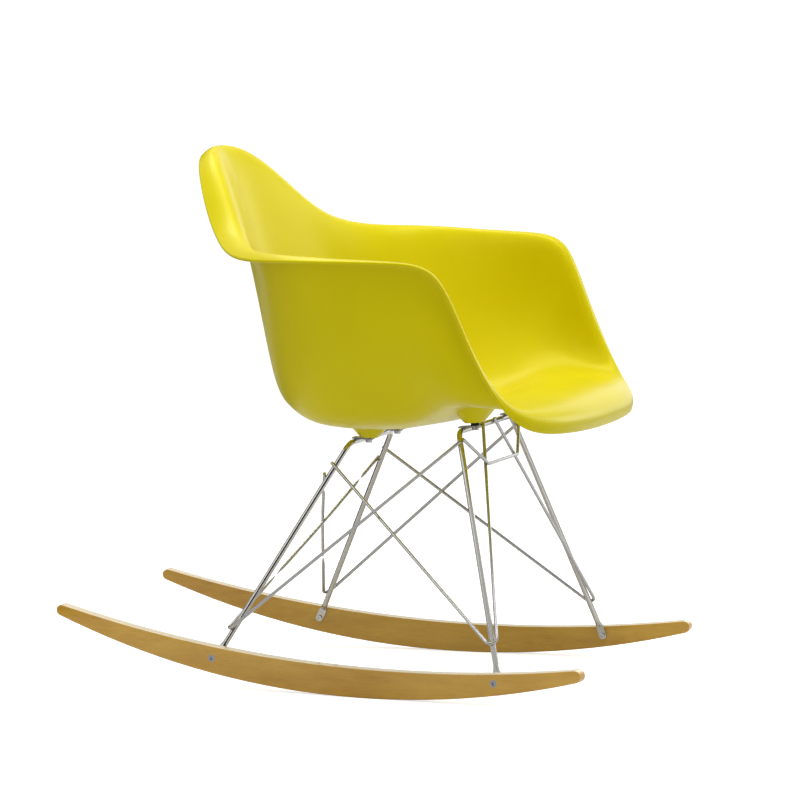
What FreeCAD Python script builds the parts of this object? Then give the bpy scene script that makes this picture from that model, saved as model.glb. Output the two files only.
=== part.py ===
import FreeCAD, Part
import Sketcher
import math
import os
from FreeCAD import Placement, Rotation, Vector

# Moulded plastic rocking chair: a one-piece armchair shell on a base of chromed rods,
# standing on two curved boards.
# The sitter faces -Y and +Z is up. The origin is on the floor, under the middle of the
# chair's box. Left and right are the sitter's, so left is +X.

doc = FreeCAD.newDocument("RockingChair")

# Driving dimensions, in millimetres and degrees.
SIZES = {
    # rocker boards, measured from the point where each one touches the floor
    "board_thickness": 20.0,
    "board_under_radius": 1288.5,
    "board_top_radius": 2095.7,
    "board_top_offset": -48.0,
    "board_waist_depth": 40.7,
    "board_front_reach": 318.8,
    "board_rear_reach": 471.0,
    "board_edge_round": 1.6,
    "board_toe_angle": 3.97,
    "rest_flat": 24.0,
    "bolt_lift": 2.0,
    "touch_half": 234.3,
    "touch_back": -75.5,
    # chromed rods and wires
    "rod_size": 8.0,
    "wire_size": 4.8,
    "weld_gap": 0.05,
    "hoop_bend": 17.0,
    "brace_bend": 8.5,
    "hanger_bend": 9.0,
    "front_bar_half": 115.7,
    "front_bar_back": -172.5,
    "rear_bar_half": 89.8,
    "rear_bar_back": 0.5,
    "rear_bar_height": 340.0,
    "front_bar_rise": 25.0,
    "front_bolt_reach": 198.4,
    "rear_bolt_reach": 233.5,
    # welds on the legs: feet above the floor, the others below their own crossbar
    "side_brace_foot": 82.0,
    "side_brace_drop": 32.3,
    "side_brace_half": 27.5,
    "rear_brace_foot": 79.0,
    "rear_brace_drop": 48.0,
    "rear_brace_front_drop": 15.8,
    "hanger_drop": 13.0,
    "hanger_depth": 49.5,
    "hanger_half": 64.0,
    "end_overrun": 5.0,
    "leg_overrun": 2.0,
    "hanger_overrun": 3.5,
    # flattened feet of the legs
    "tab_width": 11.0,
    "tab_thickness": 3.5,
    "tab_rise": 14.0,
    "tab_taper": 9.0,
    "taper_inset": 0.1,
    # board fasteners
    "foot_screw_size": 4.0,
    "foot_head_size": 7.4,
    "foot_head_height": 2.6,
    "foot_socket_size": 3.7,
    "foot_socket_depth": 1.6,
    "foot_screw_end_gap": 2.0,
    "nut_barrel": 6.0,
    "nut_head_size": 10.0,
    "nut_head_height": 2.0,
    "nut_socket_size": 5.0,
    "nut_socket_depth": 1.6,
    "nut_barrel_gap": 0.5,
    # shock mounts
    "plate_length": 30.0,
    "plate_width": 18.0,
    "plate_thickness": 2.0,
    "buffer_size": 12.0,
    "rear_buffer_show": 1.0,
    "front_buffer_show": 4.5,
    "buffer_sink": 4.0,
    "insert_size": 8.0,
    "insert_length": 9.0,
    "mount_screw_size": 5.0,
    "mount_head_size": 9.6,
    "mount_head_height": 3.4,
    "mount_socket_size": 4.8,
    "mount_socket_depth": 2.0,
    "mount_screw_end_gap": 1.5,
    "washer_size": 11.0,
    "washer_thickness": 1.0,
    "rear_mount_half": 60.3,
    "front_mount_half": 92.0,
    "rear_screw_ahead": 18.5,
    "front_screw_ahead": 17.0,
    "plate_lap": 6.5,
    "plate_corner": 3.0,
    "rear_plate_tilt": 2.3,
    "front_plate_tilt": -5.6,
    "rear_boss_size": 25.0,
    "front_boss_size": 28.0,
    "boss_height": 34.0,
    "fit_gap": 0.05,
    "bore_gap": 0.2,
    "plate_hole_gap": 0.3,
    # how far a fused piece runs into its neighbour, and a cutting tool past the face it cuts
    "overlap": 0.5,
    "cut_over": 1.0,
    # seat shell
    "shell_thickness": 5.0,
    "seat_rise": 24.0,
    "seat_back": -28.5,
}

sheet = doc.addObject("Spreadsheet::Sheet", "Sizes")
for row, (alias, number) in enumerate(SIZES.items(), start=1):
    sheet.set(f"A{row}", alias.replace("_", " "))
    sheet.set(f"B{row}", str(number))
    sheet.setAlias(f"B{row}", alias)
doc.recompute()


def size(alias):
    return float(sheet.get(alias))


def bind(obj, **formulas):
    """Tie properties to formulas in the sheet's aliases, written as {alias}."""
    for prop, formula in formulas.items():
        names = {alias: f"Sizes.{alias}" for alias in SIZES}
        obj.setExpression(prop, formula.format(**names))


def unit(vector):
    return vector * (1.0 / vector.Length)


def flip(vector):
    """The same point on the other side of the chair."""
    return Vector(-vector.x, vector.y, vector.z)


def axes(x_axis, z_axis):
    """Rotation that takes X to x_axis and Z to z_axis."""
    return Rotation(x_axis, z_axis.cross(x_axis), z_axis, "ZXY")


def along(origin, direction, distance=0.0):
    """Placement with its Z axis along direction."""
    return Placement(origin + direction * distance, Rotation(Vector(0, 0, 1), direction))


def add(kind, name, placement=None, **formulas):
    obj = doc.addObject(kind, name)
    if placement is not None:
        obj.Placement = placement
    bind(obj, **formulas)
    return obj


def cylinder(name, placement, radius, height):
    return add("Part::Cylinder", name, placement, Radius=radius, Height=height)


def fuse(name, *pieces):
    obj = doc.addObject("Part::MultiFuse", name)
    obj.Shapes = list(pieces)
    return obj


def cut(name, base, tool):
    obj = doc.addObject("Part::Cut", name)
    obj.Base = base
    obj.Tool = tool
    return obj


def compound(name, pieces):
    obj = doc.addObject("Part::Compound", name)
    obj.Links = list(pieces)
    return obj


def origin_plane(body, role):
    return [item for item in body.Origin.OriginFeatures if item.Role == role][0]


def new_sketch(body, name, role):
    sketch = body.newObject("Sketcher::SketchObject", name)
    sketch.AttachmentSupport = [(origin_plane(body, role), "")]
    sketch.MapMode = "FlatFace"
    return sketch


def dimension(sketch, kind, *where, formula=None):
    """Add a constraint and, where a formula is given, tie it to the sheet."""
    index = sketch.addConstraint(Sketcher.Constraint(kind, *where))
    if formula:
        bind(sketch, **{f"Constraints[{index}]": formula})
    return index


parts = {}


def keep(node, obj):
    obj.Label = node
    parts[node] = obj


# Rocker boards

def under_height(reach):
    """Height of the underside's arc; it dips below the floor where the rest flat is cut."""
    radius = size("board_under_radius")
    center = math.sqrt(radius ** 2 - (size("rest_flat") / 2) ** 2)
    return center - math.sqrt(radius ** 2 - reach ** 2)


def top_height(reach):
    radius = size("board_top_radius")
    across = reach - size("board_top_offset")
    return size("board_waist_depth") + radius - math.sqrt(radius ** 2 - across ** 2)


def board_frame(side):
    """Local X runs back along the board, Z is up; the origin is where it touches the floor."""
    place = Vector(side * size("touch_half"), size("touch_back"), 0)
    return Placement(place, Rotation(Vector(0, 0, 1), 90 + side * size("board_toe_angle")))


def bolt_point(side, reach, depth):
    """A point on a bolt's axis: depth 0 is the board's inner face, and + goes outward."""
    height = (under_height(reach) + top_height(reach)) / 2 + size("bolt_lift")
    inner = side * (size("board_thickness") / 2 - depth)
    return board_frame(side).multVec(Vector(reach, inner, height))


def outward(side):
    return board_frame(side).Rotation.multVec(Vector(0, -side, 0))


BOLTS = {
    "front": -size("front_bolt_reach"),
    "rear": size("rear_bolt_reach"),
}


def rocker(node, side):
    body = doc.addObject("PartDesign::Body", f"{node}_board")
    body.Placement = board_frame(side)
    outline = new_sketch(body, f"{node}_outline", "XZ_Plane")
    front = -size("board_front_reach")
    rear = size("board_rear_reach")
    under = size("board_under_radius")
    top = size("board_top_radius")
    offset = size("board_top_offset")
    corners = [
        Vector(front, under_height(front), 0),
        Vector(rear, under_height(rear), 0),
        Vector(rear, top_height(rear), 0),
        Vector(front, top_height(front), 0),
    ]

    def arc(start, middle, end):
        outline.addGeometry(Part.Arc(start, middle, end), False)

    def tip(start, end):
        """Middle of the round tip between two corners."""
        half = (end - start) * 0.5
        return start + half + Vector(half.y, -half.x, 0)

    arc(corners[0], Vector(0, under_height(0), 0), corners[1])
    arc(corners[1], tip(corners[1], corners[2]), corners[2])
    arc(corners[3], Vector(offset, size("board_waist_depth"), 0), corners[2])
    arc(corners[3], tip(corners[3], corners[0]), corners[0])
    dimension(outline, "Radius", 0, under, formula="{board_under_radius}")
    dimension(outline, "DistanceX", -1, 1, 0, 3, 0.0)
    dimension(outline, "DistanceY", -1, 1, 0, 3, under + under_height(0),
              formula="sqrt({board_under_radius} ^ 2 - ({rest_flat} / 2) ^ 2)")
    dimension(outline, "Radius", 2, top, formula="{board_top_radius}")
    dimension(outline, "DistanceX", 2, 3, -1, 1, -offset, formula="-{board_top_offset}")
    dimension(outline, "DistanceY", -1, 1, 2, 3, top + size("board_waist_depth"),
              formula="{board_top_radius} + {board_waist_depth}")
    dimension(outline, "DistanceX", 3, 3, -1, 1, -front, formula="{board_front_reach}")
    dimension(outline, "DistanceX", -1, 1, 1, 3, rear, formula="{board_rear_reach}")
    for first, first_end, second, second_end in (
            (0, 2, 1, 1), (1, 2, 2, 2), (2, 1, 3, 1), (3, 2, 0, 1)):
        dimension(outline, "Tangent", first, first_end, second, second_end)
    pad = body.newObject("PartDesign::Pad", f"{node}_pad")
    pad.Profile = outline
    pad.SideType = "Symmetric"
    bind(pad, Length="{board_thickness}")
    doc.recompute()
    long_edges = []
    for index, edge in enumerate(pad.Shape.Edges, start=1):
        if abs(edge.Vertexes[0].Y - edge.Vertexes[-1].Y) < 0.1:
            long_edges.append(f"Edge{index}")
    rounding = body.newObject("PartDesign::Fillet", f"{node}_rounding")
    rounding.Base = (pad, long_edges)
    bind(rounding, Radius="{board_edge_round}")
    body.Tip = rounding
    bores = []
    for end, reach in BOLTS.items():
        start = bolt_point(side, reach, -1)
        barrel = along(start, outward(side))
        bores.append(cylinder(f"{node}_{end}_bore", barrel,
                              "{nut_barrel} / 2 + {fit_gap}", "{board_thickness} + 2"))
        recess = along(bolt_point(side, reach, size("board_thickness")), -outward(side), -1)
        bores.append(cylinder(f"{node}_{end}_recess", recess,
                              "{nut_head_size} / 2 + {fit_gap}", "{nut_head_height} + 1"))
    frame = board_frame(side)
    corner = Vector(-size("rest_flat"), -size("board_thickness"), -size("rest_flat"))
    flat = add("Part::Box", f"{node}_rest_flat", Placement(frame.multVec(corner), frame.Rotation),
               Length="{rest_flat} * 2", Width="{board_thickness} * 2", Height="{rest_flat}")
    keep(node, cut(f"{node}_bored", body, fuse(f"{node}_cuts", *bores, flat)))


rocker("rocker_left", 1)
rocker("rocker_right", -1)


# Rod hoops: leg, crossbar, leg, with flattened feet against the boards' inner faces

ROD = size("rod_size") / 2
WIRE = size("wire_size") / 2

CORNERS = {
    "front": Vector(size("front_bar_half"), size("front_bar_back"),
                    size("rear_bar_height") + size("front_bar_rise")),
    "rear": Vector(size("rear_bar_half"), size("rear_bar_back"), size("rear_bar_height")),
}


def foot_frame(end, side=1):
    """Frame on the board's inner face at the bolt: X runs up to the corner, Z points inward."""
    corner = CORNERS[end] if side > 0 else flip(CORNERS[end])
    bolt = bolt_point(side, BOLTS[end], 0)
    inward = -outward(side)
    rise = corner - bolt
    rise = unit(rise - inward * rise.dot(inward))
    return Placement(bolt, axes(rise, inward))


def leg_line(end, side=1):
    """Bottom point of the leg's axis, and its direction up to the corner."""
    corner = CORNERS[end] if side > 0 else flip(CORNERS[end])
    bottom = foot_frame(end, side).multVec(Vector(size("tab_rise"), 0, ROD))
    return bottom, unit(corner - bottom)


def on_leg(end, height, side=1):
    """Point on the leg's axis at a height above the floor, and its direction."""
    bottom, direction = leg_line(end, side)
    return bottom + direction * ((height - bottom.z) / direction.z), direction


def bent_rod(node, frame, corner, finish, thickness, bend):
    """A rod bent twice: half of it follows the path 0 - corner - finish, and is mirrored."""
    turn = unit(finish - corner)
    rising = math.copysign(1.0, finish.z)
    radius = size(bend)
    angle = math.acos(turn.x)
    tangent = corner.x - radius * math.tan(angle / 2)
    body = doc.addObject("PartDesign::Body", f"{node}_rod")
    body.Placement = frame
    section = new_sketch(body, f"{node}_section", "YZ_Plane")
    section.addGeometry(Part.Circle(Vector(0, 0, 0), Vector(0, 0, 1), size(thickness) / 2), False)
    dimension(section, "Coincident", 0, 3, -1, 1)
    dimension(section, "Radius", 0, size(thickness) / 2, formula="{" + thickness + "} / 2")
    path = new_sketch(body, f"{node}_path", "XZ_Plane")
    start = Vector(tangent, 0, 0)
    center = Vector(tangent, rising * radius, 0)
    middle = center + Vector(math.sin(angle / 2), -rising * math.cos(angle / 2), 0) * radius
    after = center + Vector(math.sin(angle), -rising * math.cos(angle), 0) * radius
    last = Vector(finish.x, finish.z, 0)
    path.addGeometry(Part.LineSegment(Vector(0, 0, 0), start), False)
    path.addGeometry(Part.Arc(start, middle, after), False)
    path.addGeometry(Part.LineSegment(after, last), False)
    arc_start = 1 if rising > 0 else 2
    dimension(path, "Coincident", 0, 1, -1, 1)
    dimension(path, "Horizontal", 0)
    dimension(path, "Tangent", 0, 2, 1, arc_start)
    dimension(path, "Tangent", 1, 3 - arc_start, 2, 1)
    dimension(path, "Radius", 1, radius, formula="{" + bend + "}")
    dimension(path, "DistanceX", -1, 1, 0, 2, tangent)
    dimension(path, "DistanceX", -1, 1, 2, 2, last.x)
    dimension(path, "DistanceY", -1, 1, 2, 2, last.y)
    pipe = body.newObject("PartDesign::AdditivePipe", f"{node}_pipe")
    pipe.Profile = section
    pipe.Spine = path
    doc.recompute()
    mirror = body.newObject("PartDesign::Mirrored", f"{node}_mirror")
    mirror.Originals = [pipe]
    mirror.MirrorPlane = (origin_plane(body, "YZ_Plane"), [""])
    body.Tip = mirror
    doc.recompute()
    return body


def foot_tab(name, end, side):
    """The flattened foot of a leg: a round-ended tab, and the taper from the round rod to it."""
    frame = foot_frame(end, side)
    bottom, direction = leg_line(end, side)
    half = size("tab_width") / 2
    rise = size("tab_rise")
    turn = frame.Rotation
    plate = add("Part::Box", f"{name}_plate", Placement(frame.multVec(Vector(0, -half, 0)), turn),
                Length="{tab_rise}", Width="{tab_width}", Height="{tab_thickness}")
    tip = cylinder(f"{name}_tip", frame, "{tab_width} / 2", "{tab_thickness}")
    level = Vector(0, 1, 0)
    flat_axis = turn.multVec(level)
    seat = frame.multVec(Vector(rise - size("overlap"), 0, size("tab_thickness") / 2))
    flat = add("Part::Ellipse", f"{name}_flat",
               Placement(seat, axes(flat_axis, turn.multVec(Vector(1, 0, 0)))),
               MajorRadius="{tab_width} / 2 - {taper_inset} * 2",
               MinorRadius="{tab_thickness} / 2 - {taper_inset}")
    ring = add("Part::Ellipse", f"{name}_ring",
               Placement(bottom + direction * size("tab_taper"), axes(flat_axis, direction)),
               MajorRadius="{rod_size} / 2", MinorRadius="{rod_size} / 2")
    taper = doc.addObject("Part::Loft", f"{name}_taper")
    taper.Sections = [flat, ring]
    taper.Solid = True
    taper.Ruled = True
    hole = cylinder(f"{name}_hole", along(frame.Base, -outward(side), -size("cut_over")),
                    "{foot_screw_size} / 2 + {bore_gap}", "{tab_thickness} + {cut_over} * 2")
    return [plate, tip, taper], hole


def hoop(node, end):
    corner = CORNERS[end]
    bottom, direction = leg_line(end)
    finish = bottom + direction * size("tab_taper")
    fall = finish - corner
    lean = math.degrees(math.atan2(fall.y, -fall.z))
    frame = Placement(Vector(0, corner.y, corner.z), Rotation(Vector(1, 0, 0), lean))
    inside = frame.inverse()
    rod = bent_rod(node, frame, inside.multVec(corner), inside.multVec(finish),
                   "rod_size", "hoop_bend")
    pieces = [rod]
    holes = []
    for side, word in ((1, "left"), (-1, "right")):
        tab, hole = foot_tab(f"{node}_{word}", end, side)
        pieces += tab
        holes.append(hole)
    keep(node, cut(f"{node}_drilled", fuse(f"{node}_welded", *pieces),
                   fuse(f"{node}_holes", *holes)))


hoop("front_hoop", "front")
hoop("rear_hoop", "rear")


# Braces: each is one wire bent to a narrow V that straddles a leg near the floor

def weld(point, rod_axis, wire_axis, side, spacing):
    """Point on a wire's axis where it lies against a rod, on the rod's given side."""
    offset = unit(rod_axis.cross(wire_axis)) * spacing
    return point + offset if offset.dot(side) > 0 else point - offset


def settle(foot, foot_axis, foot_side, welds):
    """Place a V's bend and its two ends so that all three lie against their rods."""
    spacing = ROD + WIRE + size("weld_gap")
    bend = foot
    ends = [weld[0] for weld in welds]
    vertex = bend
    for _ in range(60):
        first = unit(ends[0] - vertex)
        second = unit(ends[1] - vertex)
        half = first.getAngle(second) / 2
        bend = weld(foot, foot_axis, unit(first - second), foot_side, spacing)
        depth = size("brace_bend") * (1 / math.sin(half) - 1)
        vertex = bend - unit(first + second) * depth
        ends = [weld(point, axis, aim, side, spacing)
                for (point, axis, side), aim in zip(welds, (first, second))]
    return bend, vertex, ends


def brace(node, side, bend, vertex, ends, overruns, bow=None):
    """Sweep a V of wire; bow moves the second leg's middle where two wires cross."""
    aims = [unit(end - vertex) for end in ends]
    half = aims[0].getAngle(aims[1]) / 2
    reach = size("brace_bend") / math.tan(half)
    turn_in, turn_out = [vertex + aim * reach for aim in aims]
    tips = [end + aim * overrun for end, aim, overrun in zip(ends, aims, overruns)]
    points = [tips[0], turn_in, bend, turn_out, tips[1]]
    if side < 0:
        points = [flip(point) for point in points]
        aims = [flip(aim) for aim in aims]
    spine = [Part.LineSegment(points[0], points[1]).toShape(),
             Part.Arc(points[1], points[2], points[3]).toShape()]
    if bow is None:
        spine.append(Part.LineSegment(points[3], points[4]).toShape())
    else:
        share = -points[3].x / (points[4].x - points[3].x)
        middle = points[3] + (points[4] - points[3]) * share + bow
        curve = Part.BSplineCurve()
        curve.interpolate(Points=[points[3], middle, points[4]], InitialTangent=aims[1],
                          FinalTangent=unit(points[4] - middle))
        spine.append(curve.toShape())
    route = doc.addObject("Part::Feature", f"{node}_route")
    route.Shape = Part.Wire(spine)
    ring = add("Part::Circle", f"{node}_ring", along(points[0], unit(points[1] - points[0])),
               Radius="{wire_size} / 2")
    sweep = doc.addObject("Part::Sweep", f"{node}_wire")
    sweep.Sections = [ring]
    sweep.Spine = (route, ["Edge1", "Edge2", "Edge3"])
    sweep.Solid = True
    keep(node, sweep)


LEFT = Vector(1, 0, 0)
AHEAD = Vector(0, -1, 0)
BACK = Vector(0, 1, 0)
ALONG_BAR = Vector(1, 0, 0)

front_foot, front_leg = on_leg("front", size("side_brace_foot"))
rear_top, rear_leg = on_leg("rear", CORNERS["rear"].z - size("side_brace_drop"))
bar_point = Vector(size("side_brace_half"), CORNERS["front"].y, CORNERS["front"].z)
side_bend, side_vertex, side_ends = settle(
    front_foot, front_leg, LEFT,
    [(bar_point, ALONG_BAR, AHEAD), (rear_top, rear_leg, LEFT)])
for side, word in ((1, "left"), (-1, "right")):
    brace(f"side_brace_{word}", side, side_bend, side_vertex, side_ends,
          [size("end_overrun"), size("end_overrun")])

rear_foot, rear_leg = on_leg("rear", size("rear_brace_foot"))
leg_top, front_leg = on_leg("front", CORNERS["front"].z - size("rear_brace_front_drop"))
across_top, across_leg = on_leg("rear", CORNERS["rear"].z - size("rear_brace_drop"), -1)
rear_bend, rear_vertex, rear_ends = settle(
    rear_foot, rear_leg, BACK,
    [(leg_top, front_leg, LEFT), (across_top, across_leg, BACK)])
cross_aim = unit(rear_ends[1] - rear_vertex)
apart = unit(cross_aim.cross(flip(cross_aim))) * (WIRE + size("weld_gap") / 2)
for side, word in ((1, "left"), (-1, "right")):
    brace(f"rear_brace_{word}", side, rear_bend, rear_vertex, rear_ends,
          [size("leg_overrun"), size("end_overrun")], bow=apart * side)


# Front hanger: a wire trapezoid under the front crossbar, ahead of the side braces

def line_gap(point, axis, other, other_axis):
    """Signed least distance between two lines."""
    return (other - point).dot(unit(axis.cross(other_axis)))


hang_leg, front_leg = on_leg("front", CORNERS["front"].z - size("hanger_drop"))
hanger_low = CORNERS["front"].z - size("hanger_depth")
side_aim = unit(side_ends[0] - side_vertex)
wanted = size("wire_size") + size("weld_gap")
hanger_back = side_ends[0].y
hang_end = hang_leg
for _ in range(60):
    low = Vector(size("hanger_half"), hanger_back, hanger_low)
    hang_aim = unit(hang_end - low)
    hang_end = weld(hang_leg, front_leg, hang_aim, AHEAD, ROD + WIRE + size("weld_gap"))
    gap = line_gap(low, hang_aim, side_vertex, side_aim)
    nudge = Vector(0, -1, 0)
    slope = line_gap(low + nudge, unit(hang_end - low - nudge), side_vertex, side_aim) - gap
    hanger_back -= (math.copysign(wanted, slope) - gap) / slope
low = Vector(size("hanger_half"), hanger_back, hanger_low)
hang_end += unit(hang_end - low) * size("hanger_overrun")
climb = hang_end - low
hanger_frame = Placement(Vector(0, low.y, low.z),
                         Rotation(Vector(1, 0, 0), math.degrees(math.atan2(-climb.y, climb.z))))
inside = hanger_frame.inverse()
hanger = bent_rod("front_hanger", hanger_frame, inside.multVec(low), inside.multVec(hang_end),
                  "wire_size", "hanger_bend")
keep("front_hanger", hanger)


# Board fasteners: a screw through each foot tab, into a sleeve nut let into the board

def foot_screw(name, end, side):
    head_under = foot_frame(end, side).multVec(Vector(0, 0, size("tab_thickness")))
    shaft = cylinder(f"{name}_shaft", along(head_under, outward(side), -size("overlap")),
                     "{foot_screw_size} / 2",
                     "{overlap} + {tab_thickness} + {board_thickness} - {nut_head_height} - "
                     "{foot_screw_end_gap}")
    head = cylinder(f"{name}_head", along(head_under, -outward(side)),
                    "{foot_head_size} / 2", "{foot_head_height}")
    socket = add("Part::Prism", f"{name}_socket",
                 along(head_under, -outward(side),
                       size("foot_head_height") - size("foot_socket_depth")),
                 Circumradius="{foot_socket_size} / 2",
                 Height="{foot_socket_depth} + {cut_over}")
    socket.Polygon = 6
    return cut(f"{name}_done", fuse(f"{name}_blank", shaft, head), socket)


def sleeve_nut(name, end, side):
    face = bolt_point(side, BOLTS[end], size("board_thickness"))
    inner = bolt_point(side, BOLTS[end], 0)
    head = cylinder(f"{name}_head", along(face, -outward(side)),
                    "{nut_head_size} / 2", "{nut_head_height}")
    barrel = cylinder(f"{name}_barrel", along(inner, outward(side), size("nut_barrel_gap")),
                      "{nut_barrel} / 2",
                      "{board_thickness} - {nut_barrel_gap} - {nut_head_height} / 2")
    bore = cylinder(f"{name}_bore", along(inner, outward(side)),
                    "{foot_screw_size} / 2 + {fit_gap}", "{board_thickness} - {nut_head_height}")
    socket = add("Part::Prism", f"{name}_socket",
                 along(face, -outward(side), -size("cut_over")),
                 Circumradius="{nut_socket_size} / 2",
                 Height="{nut_socket_depth} + {cut_over}")
    socket.Polygon = 6
    return cut(f"{name}_done", fuse(f"{name}_blank", head, barrel),
               fuse(f"{name}_hollow", bore, socket))


foot_screws = []
sleeve_nuts = []
for end in ("front", "rear"):
    for side, word in ((1, "left"), (-1, "right")):
        foot_screws.append(foot_screw(f"foot_screw_{end}_{word}", end, side))
        sleeve_nuts.append(sleeve_nut(f"sleeve_nut_{end}_{word}", end, side))
keep("foot_screws", compound("FootScrews", foot_screws))
keep("sleeve_nuts", compound("SleeveNuts", sleeve_nuts))


# Shock mounts, each stacked on its screw's axis. The frame's origin is on the crossbar's axis
# level, ahead of it by the screw's distance; its Z axis is the screw's.

MOUNTS = [
    (end, side, word)
    for end in ("front", "rear")
    for side, word in ((1, "left"), (-1, "right"))
]


def mount_frame(end, side):
    turn = Rotation(Vector(1, 0, 0), size(f"{end}_plate_tilt"))
    bar = Vector(side * size(f"{end}_mount_half"), CORNERS[end].y, CORNERS[end].z)
    return Placement(bar + turn.multVec(Vector(0, -size(f"{end}_screw_ahead"), 0)), turn)


def up_screw(end, side, height):
    frame = mount_frame(end, side)
    return Placement(frame.multVec(Vector(0, 0, height)), frame.Rotation)


over = size("cut_over")
plate_low = size("rod_size") / 2
plate_top = plate_low + size("plate_thickness")
mount_screws = []
mount_washers = []
inserts = []
bosses = []
hollows = []
for end, side, word in MOUNTS:
    tag = f"{end}_{word}"
    show = size(f"{end}_buffer_show")
    sink = size("buffer_sink")
    shift = Vector(-size("plate_width") / 2, -size("plate_lap"), plate_low)
    frame = mount_frame(end, side)
    blank = add("Part::Box", f"plate_{tag}_blank",
                Placement(frame.multVec(shift), frame.Rotation), Length="{plate_width}",
                Width="{plate_length}", Height="{plate_thickness}")
    corners = add("Part::Fillet", f"plate_{tag}_corners")
    doc.recompute()
    upright = []
    for index, edge in enumerate(blank.Shape.Edges, start=1):
        if abs(edge.Length - size("plate_thickness")) < 1e-6:
            upright.append((index, size("plate_corner"), size("plate_corner")))
    corners.Base = blank
    corners.Edges = upright
    hole = cylinder(f"plate_{tag}_hole", up_screw(end, side, plate_low - over),
                    "{mount_screw_size} / 2 + {plate_hole_gap}",
                    "{plate_thickness} + {cut_over} * 2")
    keep(f"mount_plate_{tag}", cut(f"plate_{tag}", corners, hole))

    disc = cylinder(f"buffer_{tag}_disc", up_screw(end, side, plate_top),
                    "{buffer_size} / 2", "{%s_buffer_show} + {buffer_sink}" % end)
    bore = cylinder(f"buffer_{tag}_bore", up_screw(end, side, plate_top - over),
                    "{mount_screw_size} / 2 + {bore_gap}",
                    "{%s_buffer_show} + {buffer_sink} + {cut_over} * 2" % end)
    keep(f"rubber_buffer_{tag}", cut(f"buffer_{tag}", disc, bore))

    ceiling = plate_top + show + sink
    body = cylinder(f"insert_{tag}_body", up_screw(end, side, ceiling),
                    "{insert_size} / 2", "{insert_length}")
    thread = cylinder(f"insert_{tag}_thread", up_screw(end, side, ceiling - over),
                      "{mount_screw_size} / 2 + {fit_gap}", "{insert_length}")
    inserts.append(cut(f"insert_{tag}", body, thread))

    head_top = plate_low - size("washer_thickness")
    shaft = cylinder(f"screw_{tag}_shaft", up_screw(end, side, head_top - size("overlap")),
                     "{mount_screw_size} / 2",
                     "{overlap} + {washer_thickness} + {plate_thickness} + {%s_buffer_show} + "
                     "{buffer_sink} + {insert_length} - {mount_screw_end_gap}" % end)
    head = cylinder(f"screw_{tag}_head",
                    up_screw(end, side, head_top - size("mount_head_height")),
                    "{mount_head_size} / 2", "{mount_head_height}")
    socket = add("Part::Prism", f"screw_{tag}_socket",
                 up_screw(end, side, head_top - size("mount_head_height") - over),
                 Circumradius="{mount_socket_size} / 2",
                 Height="{mount_socket_depth} + {cut_over}")
    socket.Polygon = 6
    mount_screws.append(cut(f"screw_{tag}", fuse(f"screw_{tag}_blank", shaft, head), socket))

    ring = cylinder(f"washer_{tag}_ring", up_screw(end, side, head_top),
                    "{washer_size} / 2", "{washer_thickness}")
    eye = cylinder(f"washer_{tag}_eye", up_screw(end, side, head_top - over),
                   "{mount_screw_size} / 2 + {bore_gap}",
                   "{washer_thickness} + {cut_over} * 2")
    mount_washers.append(cut(f"washer_{tag}", ring, eye))

    bosses.append(add("Part::Cone", f"boss_{tag}", up_screw(end, side, plate_top + show),
                      Radius1="{%s_boss_size} / 2" % end,
                      Radius2="{%s_boss_size} / 2 + {boss_height}" % end,
                      Height="{boss_height}"))
    hollows.append(cylinder(f"pocket_{tag}", up_screw(end, side, plate_top + show - over),
                            "{buffer_size} / 2 + {fit_gap}", "{buffer_sink} + {cut_over}"))
    hollows.append(cylinder(f"insert_{tag}_seat", up_screw(end, side, ceiling - over),
                            "{insert_size} / 2 + {fit_gap}",
                            "{insert_length} + {cut_over} + {fit_gap}"))

keep("mount_screws", compound("MountScrews", mount_screws))
keep("mount_washers", compound("MountWashers", mount_washers))
keep("threaded_inserts", compound("ThreadedInserts", inserts))


# Seat shell. Each station is one radial section of half the shell, from the middle of the
# back round to the middle of the front, measured from the seat's lowest point. It gives the
# crest of the rim, a point of the wall, the heel where the wall meets the seat, how far the
# rolled flange goes outward and down from the crest, and how much fuller its roll is.

STATIONS = [
    # name, crest, wall, heel, flange out, flange drop, fuller
    ("back_centre", (0, 256, 401), (0, 200, 205), (0, 149, 17), 31, 11, 0),
    ("back_crown", (55, 236, 397), (49, 180, 204), (55, 146, 29), 39, 11, 0),
    ("back_shoulder", (102, 205, 361), (105, 152, 183), (102, 134, 39), 45, 11, 0),
    ("back_side", (135, 175, 318), (154, 137, 172), (142, 114, 40), 49, 11, 0),
    ("back_waist", (177, 145, 284), (197, 109, 157), (177, 88, 32), 48, 11, 0),
    ("arm_root", (246, 110, 269), (236, 71, 152), (204, 58, 24), 39, 9, 0),
    ("arm_rear", (290, 50, 266), (262, 24, 150), (219, 17, 23), 25, 6, 0),
    ("arm_middle", (279, -41, 258), (272, -35, 145), (223, -34, 25), 22, 3, 0),
    ("arm_front", (272, -109, 254), (279, -87, 138), (221, -72, 28), 21, 1, 0),
    ("knee", (272, -162, 248), (284, -122, 135), (218, -99, 31), 20, 0, 0),
    ("knee_low", (266, -186, 203), (285, -148, 122), (216, -117, 34), 17, 1, 0),
    ("shin", (263, -215, 129), (281, -174, 84), (209, -133, 41), 16, 1, 0),
    ("foot", (255, -253, 67), (260, -209, 52), (191, -157, 51), 18, 2, 3),
    ("front_corner", (228, -286, 46), (206, -247, 48), (150, -181, 58), 32, -5, 9),
    ("front_quarter", (141, -316, 43), (112, -271, 51), (78, -198, 57), 31, -14, 13),
    ("front_centre", (0, -322, 40), (0, -275, 52), (0, -206, 52), 34, -9, 14),
]

# Two rings lie between the lowest point and the heel: their shares of the way out and up.
SEAT_RINGS = [(0.36, 0.0), (0.78, 0.45)]
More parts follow.
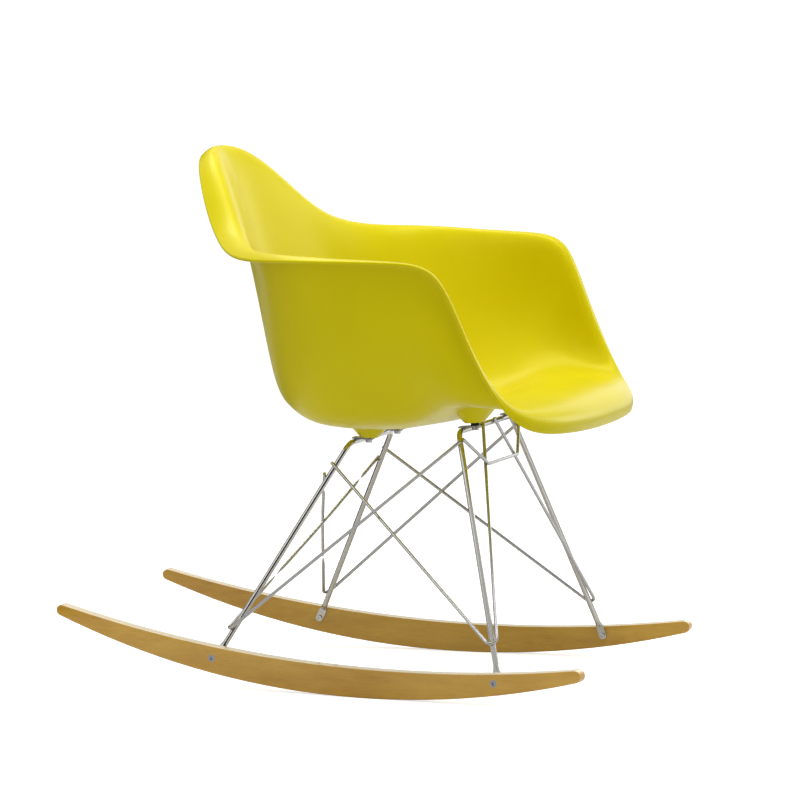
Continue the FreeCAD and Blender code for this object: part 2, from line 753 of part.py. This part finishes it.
# The flange's middle, as shares of its reach and drop.
ROLL_REACH = 0.55
ROLL_DROP = 0.15
# How far the lip's rounded edge bulges, in wall thicknesses.
NOSE_BULGE = 0.66
# How far out from the seat's middle the surface goes that trims the bosses, in rings.
TRIM_RINGS = 2.6

seat_low = Vector(0, size("seat_back"), size("rear_bar_height") + size("seat_rise"))


def whole_ring(half_ring):
    """Points of the whole ring: the given half, then its mirror image backwards."""
    return half_ring + [flip(point) for point in half_ring[-2:0:-1]]


def shell_net():
    """Control points, one list per ring, from the seat's lowest point out to the lip."""
    crest = whole_ring([seat_low + Vector(*station[1]) for station in STATIONS])
    wall = whole_ring([seat_low + Vector(*station[2]) for station in STATIONS])
    heel = whole_ring([seat_low + Vector(*station[3]) for station in STATIONS])
    flange = [station[4:] for station in STATIONS]
    flange += flange[-2:0:-1]
    count = len(crest)
    inner = [Vector(seat_low) for _ in range(count)]
    first, second = [
        [seat_low + Vector(away.x * out, away.y * out, away.z * up)
         for away in [point - seat_low for point in heel]]
        for out, up in SEAT_RINGS]
    roll = []
    lip = []
    for index in range(count):
        tangent = unit(crest[(index + 1) % count] - crest[index - 1])
        down = wall[index] - crest[index]
        down = unit(down - tangent * down.dot(tangent))
        out = tangent.cross(down)
        wide, drop, fuller = flange[index]
        roll.append(crest[index] + out * (ROLL_REACH * wide) + down * (ROLL_DROP * drop - fuller))
        lip.append(crest[index] + out * wide + down * drop)
    return [inner, first, second, heel, wall, crest, roll, lip]


def skin(rings):
    """Closed round the ring, clamped from the first ring to the last."""
    spans = len(rings) - 3
    around = len(rings[0])
    surface = Part.BSplineSurface()
    surface.buildFromPolesMultsKnots(
        [[ring[index - 1] for ring in rings] for index in range(around)],
        [1] * (around + 1), [4] + [1] * (spans - 1) + [4],
        list(range(around + 1)), list(range(spans + 1)), True, False, 3, 3)
    return surface


def offset_net(rings, surface, distance):
    """Move each control point against the normal of the surface beside it."""
    spans = len(rings) - 3
    knots = [0] * 3 + list(range(spans + 1)) + [spans] * 3
    moved = [[point - Vector(0, 0, distance) for point in rings[0]]]
    for ring_index, ring in enumerate(rings[1:], start=1):
        across = sum(knots[ring_index + 1:ring_index + 4]) / 3.0
        across = min(across, spans - 0.001)
        moved.append([point - surface.normal(index, across) * distance
                      for index, point in enumerate(ring)])
    return moved


def nose_net(inner, outer):
    """The rounded edge of the lip, from the inner skin's last ring to the outer skin's."""
    bulge = size("shell_thickness") * NOSE_BULGE
    forward = [unit(last - before) for last, before in zip(inner[-1], inner[-2])]
    inner_row = [point + ahead * bulge for point, ahead in zip(inner[-1], forward)]
    outer_row = [point + ahead * bulge for point, ahead in zip(outer[-1], forward)]
    return [inner[-1], inner_row, outer_row, outer[-1]]


def quarters(surface, start, end):
    """The surface as four faces, split in the chair's middle and at its sides."""
    around = surface.NbUPoles
    return [surface.toShape(around * turn / 4, around * (turn + 1) / 4, start, end)
            for turn in range(4)]


inner_net = shell_net()
inner_skin = skin(inner_net)
outer_net = offset_net(inner_net, inner_skin, size("shell_thickness"))
faces = quarters(inner_skin, 0, 5) + quarters(skin(outer_net), 0, 5)
faces += quarters(skin(nose_net(inner_net, outer_net)), 0, 1)
hull = Part.Compound(faces)
hull.sewShape()
hull = Part.Solid(hull.Shells[0])
if hull.Volume < 0:
    hull.reverse()
moulding = doc.addObject("Part::Feature", "Moulding")
moulding.Shape = hull

# The bosses stop halfway through the shell's wall, so their tops never show inside the seat.
under = doc.addObject("Part::Feature", "SeatMiddle")
under.Shape = inner_skin.toShape(0, inner_skin.NbUPoles, 0, TRIM_RINGS)
under.Placement = Placement(Vector(0, 0, -size("shell_thickness") / 2), Rotation())
above = doc.addObject("Part::Extrusion", "AboveSeatMiddle")
above.Base = under
above.DirMode = "Custom"
above.Dir = Vector(0, 0, 1)
bind(above, LengthFwd="{boss_height} * 4")
above.Solid = True
doc.recompute()
trimmed = [cut(f"{boss.Name}_trimmed", boss, above) for boss in bosses]
solid = fuse("MouldingWithBosses", moulding, *trimmed)
solid.Refine = False
shell = cut("SeatShell", solid, fuse("BossHollows", *hollows))
shell.Refine = False
keep("seat_shell", shell)

doc.recompute()
os.makedirs("parts", exist_ok=True)
for node, obj in parts.items():
    state = set(obj.State) & {"Invalid", "Error"}
    shape = obj.Shape
    if state or shape.isNull() or not shape.isValid():
        raise RuntimeError(f"{node} didn't build: {state}")
for obj in doc.Objects:
    if {"Invalid", "Error"} & set(obj.State):
        raise RuntimeError(f"{obj.Name} is in error")
for node, obj in parts.items():
    obj.Shape.exportStep(f"parts/{node}.step")
    box = obj.Shape.BoundBox
    print(f"{node:28s} solids {len(obj.Shape.Solids)} volume {obj.Shape.Volume:10.1f} "
          f"X {box.XMin:7.1f} {box.XMax:7.1f} Y {box.YMin:7.1f} {box.YMax:7.1f} "
          f"Z {box.ZMin:6.1f} {box.ZMax:6.1f}")
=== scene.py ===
# %% [markdown]
# # A moulded plastic rocking chair
#
# The chair is a yellow-green plastic shell on a base of chromed rods, and it stands on two
# curved maple boards. The CAD model already holds every piece at its true size. This file
# adds the finishes, and what a photographer's studio has: a floor, lamps, cards and a camera.
#
# Run it in Blender from top to bottom. Each cell does one step and says what it made.

# %% Tools
import math

import bpy
import numpy as np
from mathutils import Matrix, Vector

print("Blender", bpy.app.version_string)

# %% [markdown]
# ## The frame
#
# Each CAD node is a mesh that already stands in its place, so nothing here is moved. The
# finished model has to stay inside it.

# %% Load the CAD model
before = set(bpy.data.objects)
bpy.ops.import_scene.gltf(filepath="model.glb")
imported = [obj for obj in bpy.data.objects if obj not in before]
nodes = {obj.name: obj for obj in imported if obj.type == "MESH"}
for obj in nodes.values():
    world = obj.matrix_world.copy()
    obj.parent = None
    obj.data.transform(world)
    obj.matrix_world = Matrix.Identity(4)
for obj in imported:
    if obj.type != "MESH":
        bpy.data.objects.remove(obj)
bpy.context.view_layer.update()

# %% [markdown]
# ## Shader maths as plain sums
#
# A material in Blender is a graph of nodes. Drawing a sum node by node hides what it means,
# so a small class wraps a node's output and lets Python's own signs build the Math nodes.
# A second class holds one material and makes every other kind of node. It could also be done
# by hand in the node editor, but a script can be read, compared and run again.

# %% A socket that can be added and multiplied
class Signal:
    """A node's output. Plus and times, on either side of a number, add Math nodes."""

    def __init__(self, recipe, socket):
        self.recipe = recipe
        self.socket = socket

    def maths(self, operation, first, second):
        return self.recipe.node("ShaderNodeMath", {"operation": operation}, {0: first, 1: second})

    def __add__(self, other):
        return self.maths("ADD", self, other)

    def __mul__(self, other):
        return self.maths("MULTIPLY", self, other)

    __radd__ = __add__
    __rmul__ = __mul__


print("+ and * now build Math nodes")


# %% A material built from calls
class Recipe:
    """One material or world. node() makes any node: settings first, then its sockets."""

    def __init__(self, name, kind=bpy.data.materials):
        self.made = kind.new(name)
        self.made.use_nodes = True
        self.tree = self.made.node_tree
        self.tree.nodes.clear()

    def node(self, kind, settings=None, sockets=None, output=0):
        made = self.tree.nodes.new(kind)
        for name, value in (settings or {}).items():
            setattr(made, name, value)
        for name, value in (sockets or {}).items():
            if isinstance(value, Signal):
                self.tree.links.new(value.socket, made.inputs[name])
            else:
                made.inputs[name].default_value = value
        return Signal(self, made.outputs[output]) if made.outputs else made

    def blend(self, factor, first, second):
        """Mix two colours. Colours don't go through Math, which would turn them grey."""
        return self.node("ShaderNodeMix", {"data_type": "RGBA"},
                         {0: factor, 6: first, 7: second}, output=2)

    def place(self, stretch=(1, 1, 1), turn=(0, 0, 0), shift=(0, 0, 0)):
        """The point on the piece, in metres, stretched, turned and moved by a Mapping node."""
        here = self.node("ShaderNodeTexCoord", output="Object")
        return self.node("ShaderNodeMapping", {},
                         {"Vector": here, "Scale": stretch, "Rotation": turn, "Location": shift})

    def noise(self, where, scale=1.0, detail=3.0, roughness=0.5):
        """Cloudy noise from 0 to 1, with about scale blobs in each metre."""
        return self.node("ShaderNodeTexNoise", {},
                         {"Vector": where, "Scale": scale, "Detail": detail,
                          "Roughness": roughness})

    def spread(self, value, low, high):
        """Stretch the part of value between low and high to run from 0 to 1."""
        return self.node("ShaderNodeMapRange", {"clamp": True},
                         {"Value": value, "From Min": low, "From Max": high})

    def bump(self, height, depth, strength):
        """Tilt the surface's normal as if it rose and fell by depth, in metres."""
        return self.node("ShaderNodeBump", {},
                         {"Height": height, "Distance": depth, "Strength": strength})

    def finish(self, **sockets):
        """Close the material with one Principled surface."""
        names = {name.replace("_", " "): value for name, value in sockets.items()}
        surface = self.node("ShaderNodeBsdfPrincipled", {}, names)
        self.node("ShaderNodeOutputMaterial", {}, {"Surface": surface})
        return self.made


def srgb(red, green, blue):
    """A colour picked on a screen, 0 to 255, as the linear numbers that Blender uses."""
    parts = np.array([red, green, blue]) / 255
    linear = np.where(parts <= 0.04045, parts / 12.92, ((parts + 0.055) / 1.055) ** 2.4)
    return (*linear.tolist(), 1.0)


print("a screen's half grey, 128, is", round(srgb(128, 128, 128)[0], 3), "in linear light")

# %% [markdown]
# ## The shell's plastic
#
# The real shell is polypropylene, coloured right through, from a mould with a fine satin
# texture. So its colour hardly changes over the surface, and a painted pattern would look
# false. What the eye reads as plastic is the broad soft gloss and the faint grain that breaks
# it up. The grain is a bump two hundredths of a millimetre deep, and a slower noise changes
# the gloss a little where hands and sleeves have polished it. Seen straight on, the gloss
# takes some of the plastic's own yellow, which keeps the colour deep. At the edges it is white.

# %% Plastic
SATIN = 0.30
YELLOW_GLOSS = (1.0, 0.93, 0.2, 1.0)


def shell_plastic():
    recipe = Recipe("satin_yellow_plastic")
    here = recipe.place()
    cloud = recipe.noise(here, scale=5.0)
    grain = recipe.noise(here, scale=1400.0, detail=2.0)
    mottle = recipe.spread(cloud, 0.35, 0.65)
    return recipe.finish(
        Base_Color=recipe.blend(mottle, srgb(206, 192, 0), srgb(211, 197, 2)),
        Roughness=SATIN + 0.05 * cloud + 0.04 * grain,
        IOR=1.43, Specular_Tint=YELLOW_GLOSS,
        Normal=recipe.bump(grain, depth=0.00002, strength=0.35))


plastic = shell_plastic()
print("material:", plastic.name)

# %% [markdown]
# ## Chrome
#
# Chromed rod is a mirror wrapped round a cylinder, so it shows the studio as long bright and
# dark streaks. It needs hardly any colour of its own, and no grain: the room does the work. A
# little unevenness in the plating keeps the streaks from looking ruled. The thin wires were
# drawn, not polished, so they are duller than the thick rods.

# %% Chrome
def chrome(name, colour, dullness):
    recipe = Recipe(name)
    haze = recipe.noise(recipe.place(), scale=60.0)
    return recipe.finish(Base_Color=colour, Metallic=1.0, Roughness=dullness + 0.08 * haze)


rod = chrome("chromed_rod", srgb(198, 196, 191), dullness=0.12)
wire = chrome("chromed_wire", srgb(187, 187, 188), dullness=0.19)
print("materials:", rod.name, wire.name)

# %% [markdown]
# ## Plated steel and brass
#
# The plates, screws and nuts are zinc-plated steel, and the threaded inserts inside the
# shell's bosses are turned brass. They are metals too, but duller than chrome, and handling
# leaves fine scratches on them. A photographed scratch map would need each mesh unwrapped. A
# noise that is squeezed along one axis draws scratches on any shape, so one function serves
# all five finishes.

# %% Plated steel and brass
def plated(name, colour, dullness, patchiness):
    """Plated metal whose dullness varies in patches, with scratches drawn out across Y."""
    recipe = Recipe(name)
    haze = recipe.noise(recipe.place(), scale=150.0, detail=4.0)
    scratch = recipe.noise(recipe.place(stretch=(1, 8, 1)), scale=500.0)
    return recipe.finish(
        Base_Color=colour, Metallic=1.0, Roughness=dullness + patchiness * haze,
        Normal=recipe.bump(scratch, depth=0.00002, strength=0.3))


plate = plated("zinc_plate", srgb(150, 150, 156), dullness=0.28, patchiness=0.17)
zinc = plated("zinc_screw", srgb(196, 196, 198), dullness=0.18, patchiness=0.14)
bright = plated("bright_screw", srgb(204, 204, 206), dullness=0.14, patchiness=0.16)
dark = plated("dark_nut", srgb(150, 156, 164), dullness=0.25, patchiness=0.20)
brass = plated("turned_brass", srgb(196, 160, 84), dullness=0.25, patchiness=0.15)
print("materials:", [metal.name for metal in (plate, zinc, bright, dark, brass)])

# %% [markdown]
# ## Maple
#
# Each rocker is sawn from one straight-grained maple board, so the grain runs along it and
# crosses its curve at a slant near the tips. A photographed board would repeat, so the grain
# is worked out instead. Growth rings are a noise that is squeezed across the chair and
# stretched from front to back, and short dark pores follow the same direction. The boards
# stand a little toed in, so the grain leaves their faces at a slant and its figure breaks into
# flecks about a hand long. The top edge is painted a pale cream, a painted highlight that stands
# in for the light from above: a factor read from the surface's own normal picks the faces that
# look up. The lacquer is clear and mirrors the white room at a grazing angle.

# %% Maple
NOISE_TURN = math.radians(3.97)


def maple(side):
    """Lacquered board: side is 1 for the sitter's left and -1 for the right.

    A Mapping node stretches first and turns afterwards, so the turn doesn't slant the grain.
    It takes another cut through the same noise, and the shift takes another place in it.
    """
    recipe = Recipe(f"lacquered_maple_{'left' if side > 0 else 'right'}")
    turn = (0, 0, -NOISE_TURN * side)
    another_log = (3.1 * side, 0, 1.7)
    rings = recipe.noise(recipe.place(stretch=(90, 1.6, 26), turn=turn, shift=another_log),
                         detail=5.0, roughness=0.62)
    pores = recipe.noise(recipe.place(stretch=(900, 12, 900), turn=turn))
    cloud = recipe.noise(recipe.place(stretch=(8, 3, 8)), detail=2.0)
    wood = recipe.blend(recipe.spread(rings, 0.32, 0.68), srgb(210, 166, 63), srgb(182, 132, 40))
    wood = recipe.blend(0.35 * recipe.spread(pores, 0.52, 0.72), wood, srgb(148, 100, 28))
    wood = recipe.blend(0.30 * recipe.spread(cloud, 0.35, 0.70), wood, srgb(219, 180, 84))
    # Painted highlight: the faces that look up are blended towards pale cream, for the light on
    # the top edge.
    normal = recipe.node("ShaderNodeNewGeometry", output="Normal")
    upward = recipe.node("ShaderNodeSeparateXYZ", {}, {"Vector": normal}, output="Z")
    wood = recipe.blend(0.8 * recipe.spread(upward, 0.55, 0.85), wood, srgb(250, 238, 206))
    return recipe.finish(
        Base_Color=wood, Roughness=0.36 + 0.12 * pores, Specular_IOR_Level=0.0,
        Coat_Weight=1.0, Coat_Roughness=0.08,
        Normal=recipe.bump(pores, depth=0.00003, strength=0.3))


boards = {side: maple(side) for side in (1, -1)}
print("materials:", [board.name for board in boards.values()])

# %% [markdown]
# ## Rubber
#
# The four shock mounts under the seat are discs of black moulded rubber, nearly matt, with a
# faint dusty bloom. Pure black would look like a hole, so the black is a dark grey that the
# bloom lightens in patches.

# %% Rubber
def rubber():
    recipe = Recipe("black_rubber")
    here = recipe.place()
    bloom = recipe.noise(here, scale=90.0, detail=4.0)
    pitting = recipe.noise(here, scale=900.0, detail=2.0)
    dusty = recipe.spread(bloom, 0.45, 0.75)
    return recipe.finish(
        Base_Color=recipe.blend(dusty, srgb(22, 22, 23), srgb(44, 43, 42)),
        Roughness=0.6 + 0.2 * bloom,
        Normal=recipe.bump(pitting, depth=0.00003, strength=0.4))


black = rubber()
print("material:", black.name)

# %% [markdown]
# ## Dressing the chair
#
# The CAD model's pieces have their true shapes already, so none is remade: each one gets the
# finish that the real piece has. Nodes of one kind share the start of their name.

# %% Give each CAD node its finish
FINISHES = {
    "seat_shell": plastic,
    "rocker_left": boards[1],
    "rocker_right": boards[-1],
    "front_hoop": rod,
    "rear_hoop": rod,
    "side_brace": wire,
    "rear_brace": wire,
    "front_hanger": wire,
    "mount_plate": plate,
    "rubber_buffer": black,
    "mount_screws": zinc,
    "mount_washers": zinc,
    "foot_screws": bright,
    "sleeve_nuts": dark,
    "threaded_inserts": brass,
}
for name, node in nodes.items():
    finish = next(made for start, made in FINISHES.items() if name.startswith(start))
    node.data.materials.clear()
    node.data.materials.append(finish)
    print(f"{name:28s} {finish.name}")

# %% [markdown]
# ## Floor
#
# The photograph has a plain white ground. A paper backdrop that curves up behind the chair
# would give one, but its bend shows from other sides. A large flat floor has no bend, and it
# keeps the chair's soft shadow, so that the chair stands on something.

# %% Floor
REACH = 30


def sheet(name, corners):
    """A flat four-cornered mesh."""
    mesh = bpy.data.meshes.new(name)
    mesh.from_pydata(corners, [], [(0, 1, 2, 3)])
    made = bpy.data.objects.new(name, mesh)
    bpy.context.scene.collection.objects.link(made)
    return made


floor = sheet("floor", [(-REACH, -REACH, 0), (REACH, -REACH, 0), (REACH, REACH, 0),
                        (-REACH, REACH, 0)])
print("floor:", 2 * REACH, "m square")

# %% [markdown]
# ## White ground
#
# The floor has to look white, and its shadow has to stay. Stronger lamps would make it white,
# but would bleach the chair as well. So the floor is a pale grey under the lamps, and it adds
# white of its own for the camera's rays, and a little for the rays that come off a mirror or
# glass.

# %% White ground
FLOOR_GREY = (0.76, 0.76, 0.76, 1)
FLOOR_GLOW = 0.68


def background_rays(recipe, mirrored):
    """1 for rays from the camera, and mirrored for rays that come off a mirror or glass."""
    eye, gloss, glass = [recipe.node("ShaderNodeLightPath", output=f"Is {kind} Ray")
                         for kind in ("Camera", "Glossy", "Transmission")]
    return recipe.spread(eye + mirrored * (gloss + glass), 0.0, 1.0)


def white_ground():
    recipe = Recipe("white_ground")
    lit = recipe.node("ShaderNodeBsdfDiffuse", {}, {"Color": FLOOR_GREY})
    strength = FLOOR_GLOW * background_rays(recipe, mirrored=0.12)
    glow = recipe.node("ShaderNodeEmission", {}, {"Color": (1, 1, 1, 1), "Strength": strength})
    surface = recipe.node("ShaderNodeAddShader", {}, {0: lit, 1: glow})
    recipe.node("ShaderNodeOutputMaterial", {}, {"Surface": surface})
    return recipe.made


floor.data.materials.append(white_ground())
print("floor's material:", floor.data.materials[0].name)

# %% [markdown]
# ## Light
#
# The chair was lit softly from above, so the tops of the boards and the inside of the seat
# are bright and the outer wall is a shade deeper. One wide lamp hangs overhead and a smaller
# one hangs behind it for the edges. Two boxes beyond the chair, one of them ahead of it, put
# the pale sheen on the seat's front and the back's edge. A strip on the camera's side picks
# out the shoulders of the arms, and the white world fills the rest.

# %% Lamps
def lamp(name, place, aim, size, watts):
    light = bpy.data.lights.new(name, "AREA")
    light.shape = "RECTANGLE"
    light.size, light.size_y = size
    light.energy = watts
    made = bpy.data.objects.new(name, light)
    made.location = place
    made.rotation_euler = (Vector(aim) - Vector(place)).to_track_quat("-Z", "Y").to_euler()
    made.visible_camera = False
    bpy.context.scene.collection.objects.link(made)
    print(f"{name:16s} {watts} W, {size[0]} by {size[1]} m")


lamp("overhead", place=(-0.2, -0.5, 2.6), aim=(0, -0.05, 0.4), size=(1.6, 1.6), watts=34)
lamp("edge_light", place=(0.5, 0.6, 2.2), aim=(0, -0.05, 0.4), size=(0.8, 0.8), watts=10)
lamp("far_box", place=(2.6, -0.6, 0.9), aim=(0, -0.05, 0.5), size=(2.0, 1.2), watts=6)
lamp("front_box", place=(1.75, -1.75, 1.2), aim=(0, -0.1, 0.45), size=(1.0, 1.0), watts=11)
lamp("shoulder_strip", place=(-1.7, 0.9, 1.9), aim=(0, 0, 0.55), size=(0.4, 1.6), watts=4)

# %% [markdown]
# ## The white world
#
# The white walls of a studio send light back from all sides. Walls could be built, but they
# would stand in the way of other views, so the world does their work. It lights the chair
# evenly, at a level at which a colour comes out about as it was picked. The camera sees it as
# plain white, and a mirror sees it a little brighter than a matt surface does.

# %% The white world
WORLD_LIGHT = 0.70
studio = Recipe("studio", bpy.data.worlds)
glow = WORLD_LIGHT + (1 - WORLD_LIGHT) * background_rays(studio, mirrored=0.4)
sky = studio.node("ShaderNodeBackground", {}, {"Strength": glow})
studio.node("ShaderNodeOutputWorld", {}, {"Surface": sky})
bpy.context.scene.world = studio.made
print("world:", WORLD_LIGHT, "on the chair and 1 behind it")

# %% [markdown]
# ## Dark cards
#
# Chrome and gloss only look like chrome and gloss when they have something dark to mirror.
# A photographer puts black cards round the object, just out of the picture. Here they can
# stand anywhere, because the camera looks through them: a large one between the camera and the
# chair, one beyond the chair, and one on the floor behind its back. They show only as the dark
# streaks along the rods and as the calm, deep colour of the shell's outer wall. Lamps shine
# through them, so they don't darken the floor either.

# %% Cards
CARD_BLACK = (0.02, 0.02, 0.02, 1)


def card(name, corner, side, other_side):
    """A black four-sided card: one corner, and the two sides that run from it."""
    first, side, other_side = Vector(corner), Vector(side), Vector(other_side)
    corners = [first, first + side, first + side + other_side, first + other_side]
    made = sheet(name, [tuple(point) for point in corners])
    recipe = Recipe(f"{name}_black")
    made.data.materials.append(recipe.finish(Base_Color=CARD_BLACK, Roughness=0.9))
    made.visible_camera = False
    made.visible_diffuse = False
    made.visible_shadow = False
    print(f"{name:18s} {side.length:.1f} by {other_side.length:.1f} m")


card("camera_side_card", (-5.7, 1.7, 0), (2.4, -6.6, 0), (0, 0, 3.2))
card("far_side_card", (1.75, 3.45, 0), (1.7, -1.7, 0), (0, 0, 2.4))
card("floor_card", (-0.9, 0.7, 0.002), (2.4, 0, 0), (0, 2.4, 0))

# %% [markdown]
# ## Camera
#
# The photograph was taken from the sitter's right, a little ahead and slightly above, with a
# long lens from about eight metres. A nearer camera with a shorter lens would frame the chair
# as well, but would draw the near board too large beside the far one. So the distance and the
# lens were worked out together, until the two boards differ in size as in the photograph.

# %% Camera
DISTANCE = 8.452
TURN = math.radians(19.64)
DROP = math.radians(6.02)
LENS = 265.5
TARGET = Vector((0, -0.0435, 0.3943))

forward = Vector((math.cos(DROP) * math.cos(TURN), math.cos(DROP) * math.sin(TURN),
                  -math.sin(DROP)))
lens = bpy.data.cameras.new("camera")
lens.lens = LENS
lens.sensor_width = 36
camera = bpy.data.objects.new("camera", lens)
camera.location = TARGET - forward * DISTANCE
camera.rotation_euler = forward.to_track_quat("-Z", "Y").to_euler()
bpy.context.scene.collection.objects.link(camera)
bpy.context.scene.camera = camera
bpy.context.scene.view_settings.view_transform = "Standard"
print("camera at", [round(v, 3) for v in camera.location])

# %% [markdown]
# ## Size
#
# The finished model has to keep the size of the CAD model. Nothing was added to the chair, so
# they agree. This last step only brings the scene's positions up to date.

# %% Bring the scene up to date
bpy.context.view_layer.update()
